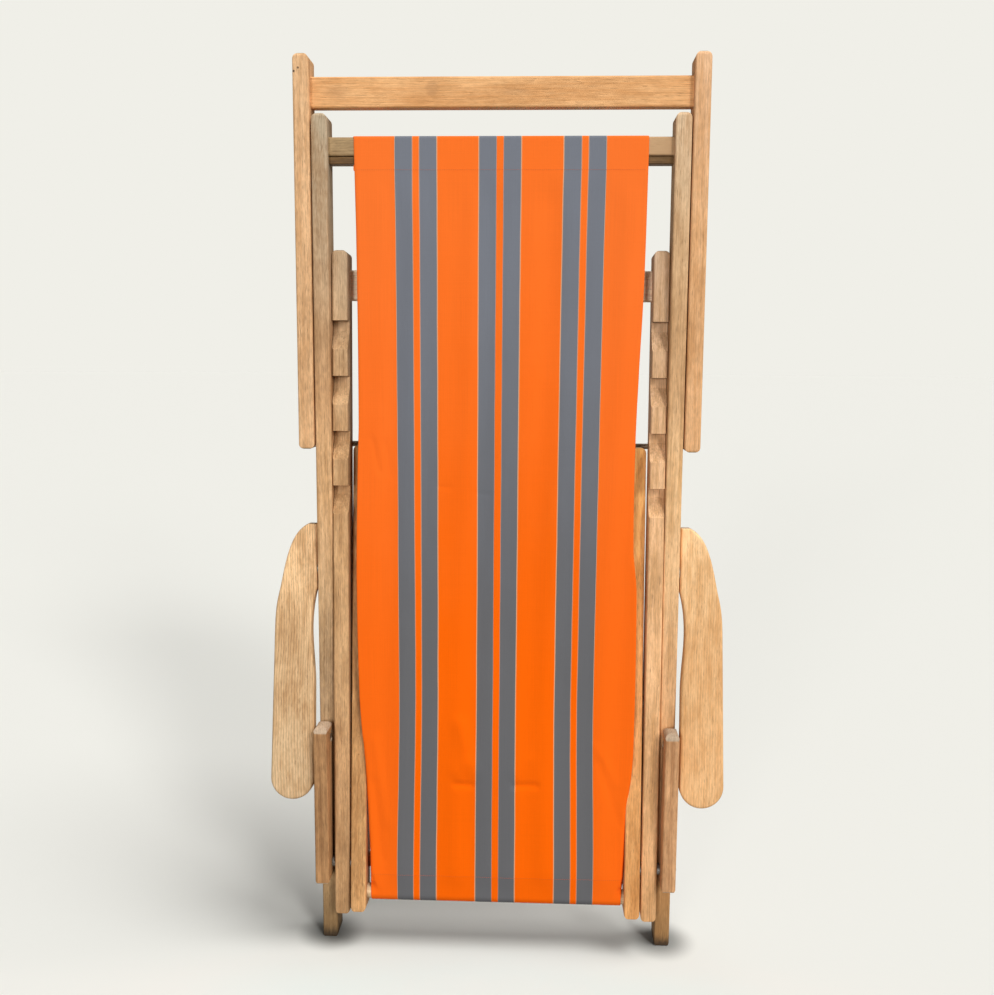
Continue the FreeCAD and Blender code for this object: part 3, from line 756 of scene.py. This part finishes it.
def make_sling(sling, material):
    """The cloth as one mesh, and the length along it at each row."""
    path = sling.path
    count = 2 * round(sling.half_width / cloth_step)
    columns = [sling.half_width * (2 * index / count - 1) for index in range(count + 1)]
    lengths = [0.0]
    for start, end in zip(path, path[1:]):
        lengths.append(lengths[-1] + math.dist(start, end))
    points = []
    marks = []
    for row, (y, z) in enumerate(path):
        on_front = sling.front_start <= row < sling.front_end
        on_wrap = row >= sling.front_end
        for u in columns:
            points.append(place_on_cloth(sling, u, y, z, on_front, on_wrap))
            marks.append((u, lengths[row]))
    width = len(columns)
    faces = []
    for row in range(len(path) - 1):
        for column in range(width - 1):
            first = row * width + column
            faces.append((first, first + width, first + width + 1, first + 1))
    item = make_mesh("canvas_sling", points, faces, material)
    layer = item.data.uv_layers.new(name="cloth")
    for loop in item.data.loops:
        layer.data[loop.index].uv = marks[loop.vertex_index]
    solid = item.modifiers.new("thickness", "SOLIDIFY")
    solid.thickness = cloth_thickness
    solid.offset = 0.0
    smooth = item.modifiers.new("smooth", "SUBSURF")
    smooth.levels = 1
    smooth.render_levels = 1
    return item, lengths


def stitches(name, sling, z, material):
    """A row of lockstitches across the cloth's face at one height."""
    count = round(2 * sling.half_width / stitch_pitch)
    points = []
    faces = []
    rng = random.Random(random_seed)
    ring = stitch_sides
    for index in range(count):
        u0 = -sling.half_width + stitch_margin + index * stitch_pitch
        u1 = u0 + stitch_pitch * stitch_share
        if u1 > sling.half_width - stitch_margin:
            break
        slack = rng.uniform(-stitch_slack, stitch_slack)
        rows = []
        for step in range(stitch_steps):
            t = step / (stitch_steps - 1)
            u = u0 + (u1 - u0) * t
            base = place_on_cloth(sling, u, sling.front_at(z), z, True, False)
            bulge = math.sin(math.pi * t)
            lift = cloth_thickness / 2 + stitch_radius * (stitch_arch * bulge - stitch_sink)
            centre = base + Vector((0, -lift, slack))
            swell = stitch_end_width + (1 - stitch_end_width) * bulge
            rows.append((centre, stitch_radius * swell))
        start = len(points)
        for centre, radius in rows:
            for spoke in range(ring):
                angle = math.tau * spoke / ring
                spread = Vector((0, radius * math.cos(angle), radius * math.sin(angle)))
                points.append(centre + spread)
        for step in range(len(rows) - 1):
            for spoke in range(ring):
                a = start + step * ring + spoke
                b = start + step * ring + (spoke + 1) % ring
                faces.append((a, b, b + ring, a + ring))
        faces.append(tuple(start + spoke for spoke in reversed(range(ring))))
        faces.append(tuple(start + (len(rows) - 1) * ring + spoke for spoke in range(ring)))
    return make_mesh(name, points, faces, material)


def paint(material, *nodes):
    """Gives carried-over CAD nodes their finish."""
    for node in nodes:
        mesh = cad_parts[node].data
        mesh.materials.clear()
        mesh.materials.append(material)


def paint_wood(node, light, dark, **cut):
    """Gives one wooden piece its own cut of wood."""
    paint(wood(node + "_wood", rgb(*light), rgb(*dark), **cut), node)


def paint_prop_frame():
    nails = (((-0.3145, -0.017, 1.4005), (0.0019, 0.006, 0.0019), nail_colour, 0.9),
             ((-0.3077, -0.017, 1.4055), (0.0019, 0.006, 0.0019), nail_colour, 0.8))
    # The rails' height factors paint their upper ends paler: painted light, with some weathered tone
    paint_wood("prop_rail_left", (229, 182, 133), (199, 148, 98), seed=1.0, pith=(-0.06, 0.05),
               patches=0.3, flecks=0.6, pores=0.6, end_colour=(150, 138, 112), marks=nails,
               shades=((1.15, plain), (1.38, (1.22, 1.28, 1.36))))
    paint_wood("prop_rail_right", (236, 183, 131), (210, 153, 98), seed=2.0, pith=(0.07, 0.03),
               patches=0.2, flecks=0.45, pores=0.4, end_colour=(160, 142, 112),
               shades=((1.15, plain), (1.38, (1.12, 1.22, 1.44))))
    smudges = (((-0.252, -0.006, 1.373), (0.020, 0.02, 0.010), smudge_colour, 0.22),
               ((-0.105, -0.006, 1.378), (0.010, 0.02, 0.012), smudge_colour, 0.26),
               ((0.020, -0.006, 1.372), (0.022, 0.02, 0.005), smudge_colour, 0.22))
    paint_wood("prop_crossbar", (245, 189, 130), (222, 159, 98), grain="X", seed=3.0,
               patches=0.2, flecks=0.35, pores=0.3, marks=smudges)


def paint_back_frame():
    # The rails' height factors paint light and shade along them: darker at the foot and beside the arm,
    # with some weathered tone at the top
    paint_wood("back_rail_left", (222, 175, 126), (184, 138, 91), seed=4.0,
               patches=0.4, flecks=0.6, pores=0.6, end_colour=(176, 160, 132), foot_stain=0.7,
               gray=0.25, gray_low=0.85, gray_high=1.30, gray_colour=(190, 170, 140),
               shades=((0.06, (0.73, 0.78, 0.74)), (0.45, (0.78, 0.88, 1.00)),
                       (0.78, (1.28, 1.32, 1.34)), (0.92, (0.96, 0.92, 0.89)),
                       (1.15, (0.91, 0.91, 0.92)), (1.34, (0.93, 0.97, 1.01))))
    paint_wood("back_rail_right", (236, 189, 139), (202, 153, 103), seed=5.0,
               patches=0.3, flecks=0.45, pores=0.45, end_colour=(196, 174, 140), foot_stain=0.55,
               gray=0.12, gray_low=0.9, gray_high=1.4, gray_colour=(214, 186, 148),
               shades=((0.06, (0.86, 0.77, 0.60)), (0.45, plain),
                       (0.78, (1.22, 1.28, 1.28)), (0.92, (0.88, 0.87, 0.84)),
                       (1.15, (0.93, 0.93, 0.92)), (1.34, (1.06, 1.12, 1.22))))
    pale_end = (((0.25, 0.0, 1.30), (0.04, 0.05, 0.04), (206, 165, 122), 0.75),)
    paint_wood("head_rail", (189, 151, 102), (147, 111, 70), grain="X", seed=6.0,
               patches=0.4, flecks=0.5, marks=pale_end,
               gray=0.2, gray_low=0.0, gray_high=0.6, gray_colour=(166, 140, 102))
    # Darker wood, partly painted shade under the head rail
    paint_wood("head_batten", (130, 98, 58), (92, 65, 36), grain="X", seed=6.5,
               patches=0.6, flecks=0.6)
    paint_wood("lower_stretcher", (206, 164, 118), (160, 120, 80), grain="X", seed=7.0)


def paint_seat_frame():
    # The rails' height factors paint light and shade along them, darker towards the foot
    paint_wood("notched_rail_left", (224, 178, 129), (186, 140, 94), seed=8.0,
               patches=0.3, flecks=0.55, pores=0.65,
               gray=0.10, gray_low=0.8, gray_high=1.2, gray_colour=(200, 172, 138),
               shades=((0.10, (0.77, 0.75, 0.70)), (0.35, (0.86, 0.84, 0.80)),
                       (0.65, (1.05, 1.05, 1.01)), (1.10, (0.86, 0.90, 0.93))))
    paint_wood("notched_rail_right", (250, 198, 145), (212, 161, 108), seed=9.0,
               patches=0.25, flecks=0.45, pores=0.5,
               gray=0.10, gray_low=0.8, gray_high=1.2, gray_colour=(206, 174, 138),
               shades=((0.10, (0.91, 0.87, 0.80)), (0.60, (1.05, 1.06, 1.08)),
                       (1.10, (0.92, 1.00, 1.16))))
    # Paler than real wood, to make up for the little light behind the sling
    paint_wood("rear_stretcher", (255, 240, 210), (250, 220, 184), grain="X", seed=10.0,
               patches=0.4, flecks=0.5)


def paint_inner_frame():
    rust_spots = (((-0.2240, -0.060, 0.3560), (0.0022, 0.03, 0.0022), rust_spot_colour, 0.8),
                  ((-0.2240, -0.060, 0.3270), (0.0024, 0.03, 0.0024), rust_spot_colour, 0.9))
    paint_wood("inner_rail_left", (217, 165, 108), (179, 127, 75), seed=11.0,
               patches=0.3, flecks=0.6, pores=0.7, marks=rust_spots)
    # The height factors paint the upper part much paler: painted light where the rail lies in shade
    paint_wood("inner_rail_right", (235, 172, 107), (203, 138, 75), seed=12.0,
               patches=0.25, flecks=0.4, pores=0.45,
               shades=((0.40, plain), (0.60, (1.45, 1.60, 1.50))))
    paint_wood("seat_crossbar", (196, 150, 102), (148, 106, 66), grain="X", seed=13.0)
    paint_wood("canvas_dowel", (232, 206, 166), (206, 174, 132), grain="X", seed=14.0, pores=0.25)


def paint_arms():
    # The height factors paint the arms' upper ends paler: painted light on their tops
    paint_wood("arm_left", (234, 192, 142), (196, 150, 101), seed=15.0, pith=(0.09, 0.012),
               ring_gap=0.0042, rings=0.40, wave=0.026, patches=0.4, flecks=0.45, pores=0.6,
               gray=0.1, gray_low=0.7, gray_high=0.3, gray_colour=(200, 172, 134),
               shades=((0.52, plain), (0.66, (1.20, 1.22, 1.25))))
    paint_wood("arm_right", (237, 188, 133), (215, 160, 103), seed=16.0, pith=(-0.09, 0.012),
               ring_gap=0.0040, rings=0.18, patches=0.2, flecks=0.28, pores=0.4,
               shades=((0.52, plain), (0.66, (1.16, 1.27, 1.40))))
    paint_wood("post_left", (186, 139, 92), (140, 98, 59), seed=17.0,
               patches=0.5, flecks=0.6, pores=0.6, end_edge=(0.12, 0.30), end_colour=(191, 165, 137))
    paint_wood("post_right", (231, 178, 128), (184, 131, 86), seed=18.0,
               patches=0.7, flecks=0.5, pores=0.5, end_edge=(0.12, 0.30), end_colour=(187, 163, 136))


def paint_hardware():
    bolts = steel("bolt_steel", (150, 148, 144), 0.35)
    paint(bolts, "prop_bolts", "prop_nuts", "fold_bolts", "fold_nuts", "arm_bolts", "post_bolts",
          "arm_pin_left", "arm_pin_right")
    paint(steel("washer_steel", (160, 158, 152), 0.25), "prop_washers", "fold_washers",
          "arm_washers", "inner_washers", "post_spacers")
    paint(steel("screw_steel", (128, 122, 114), 0.7), "frame_screws", "prop_screws", "seat_screws")
    paint(steel("tail_rod_steel", (176, 158, 134), 1.0), "tail_rod")


def make_floor():
    """Paper floor that shows the backdrop's colour and keeps the shadow, with a painted contact shadow
    under each foot and a painted tint against the sling's orange glow.
    """
    graph = Graph("floor_paper")
    shader = graph.shader
    light = graph.node("ShaderNodeLightPath").outputs
    seen = graph.math("MAXIMUM", light["Is Camera Ray"], light["Is Glossy Ray"])
    seen = graph.math("MAXIMUM", seen, light["Is Transmission Ray"])
    backdrop = linear(background_colour)
    bounce = tuple(value * floor_bounce for value in backdrop[:3]) + (1.0,)
    tinted = tuple(value * tint for value, tint in zip(backdrop, glow_tint)) + (1.0,)
    place = graph.node("ShaderNodeTexCoord").outputs["Object"]
    glow = graph.range(graph.reach(place, glow_centre, glow_reach), *glow_fade, 1.0, 0.0)
    shown = graph.mix(glow, backdrop, tinted)
    # Painted contact shadow under each foot
    for foot in foot_places:
        painted_foot_shadow = graph.range(graph.reach(place, foot, foot_reach), *foot_fade, foot_shadow_darkness, 1.0)
        shown = graph.shade(shown, painted_foot_shadow)
    graph.feed(shader.inputs["Base Color"], graph.mix(seen, bounce, shown))
    shader.inputs["Roughness"].default_value = 0.95
    shader.inputs["Specular IOR Level"].default_value = 0.0
    points = [Vector((0, 0, 0))]
    for index in range(floor_sides):
        angle = math.tau * index / floor_sides
        points.append(Vector((floor_radius * math.cos(angle), floor_radius * math.sin(angle), 0)))
    faces = [(0, 1 + index, 1 + (index + 1) % floor_sides) for index in range(floor_sides)]
    floor = make_mesh("studio_floor", points, faces, graph.material, smooth=False)


def make_world():
    """Backdrop of one colour, with a weak even light."""
    world = bpy.data.worlds.new("studio")
    bpy.context.scene.world = world
    world.use_nodes = True
    tree = world.node_tree
    background = tree.nodes["Background"]
    path = tree.nodes.new("ShaderNodeLightPath")
    either = tree.nodes.new("ShaderNodeMath")
    either.operation = "MAXIMUM"
    tree.links.new(path.outputs["Is Camera Ray"], either.inputs[0])
    tree.links.new(path.outputs["Is Transmission Ray"], either.inputs[1])
    shown = tree.nodes.new("ShaderNodeBackground")
    shown.inputs["Color"].default_value = linear(background_colour)
    shown.inputs["Strength"].default_value = 1.0
    background.inputs["Color"].default_value = (1.0, 1.0, 1.0, 1.0)
    background.inputs["Strength"].default_value = sky_strength
    choose = tree.nodes.new("ShaderNodeMixShader")
    tree.links.new(either.outputs[0], choose.inputs[0])
    tree.links.new(background.outputs[0], choose.inputs[1])
    tree.links.new(shown.outputs[0], choose.inputs[2])
    tree.links.new(choose.outputs[0], tree.nodes["World Output"].inputs["Surface"])


def add_sun(name, strength, spread, azimuth, elevation):
    """Distant lamp; the azimuth is counted from the front towards the right."""
    lamp = bpy.data.lights.new(name, "SUN")
    lamp.energy = strength
    lamp.angle = math.radians(spread)
    item = bpy.data.objects.new(name, lamp)
    bpy.context.scene.collection.objects.link(item)
    azimuth = math.radians(azimuth)
    elevation = math.radians(elevation)
    towards = Vector((
        math.sin(azimuth) * math.cos(elevation), -math.cos(azimuth) * math.cos(elevation),
        math.sin(elevation)))
    item.rotation_euler = towards.to_track_quat("Z", "Y").to_euler()


def make_camera():
    yaw, pitch, roll = (math.radians(value) for value in (camera_yaw, camera_pitch, camera_roll))
    ahead = Vector((
        math.sin(yaw) * math.cos(pitch), math.cos(yaw) * math.cos(pitch), math.sin(pitch)))
    level = ahead.cross(Vector((0, 0, 1))).normalized()
    upright = level.cross(ahead)
    right = level * math.cos(roll) + upright * math.sin(roll)
    up = upright * math.cos(roll) - level * math.sin(roll)
    turn = Matrix((right, up, -ahead)).transposed().to_4x4()
    camera = bpy.data.cameras.new("camera")
    camera.lens = camera_lens
    camera.sensor_width = camera_sensor
    camera.sensor_fit = "HORIZONTAL"
    item = bpy.data.objects.new("camera", camera)
    item.matrix_world = Matrix.Translation(Vector(camera_place)) @ turn
    bpy.context.scene.collection.objects.link(item)
    bpy.context.scene.camera = item


def make_cloth():
    sling = Sling()
    cloth = canvas_cloth("striped_canvas", sling.half_width, sling.sleeve_start())
    item, lengths = make_sling(sling, cloth)
    top_thread = thread("top_thread", (214, 110, 62))
    low_thread = thread("low_thread", (236, 102, 34))
    top = stitches("top_hem_stitches", sling, sling.stitch_z, top_thread)
    low = stitches("low_hem_stitches", sling, sling.low_stitch_z, low_thread)
    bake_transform(item)
    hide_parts("canvas")
    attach(top, "back")
    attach(low, "seat")


def main():
    bpy.context.scene.view_settings.view_transform = "Standard"
    make_camera()
    make_world()
    for name, settings in lamps.items():
        add_sun(name, *settings)
    make_floor()
    paint_prop_frame()
    paint_back_frame()
    paint_seat_frame()
    paint_inner_frame()
    paint_arms()
    paint_hardware()
    make_cloth()


main()
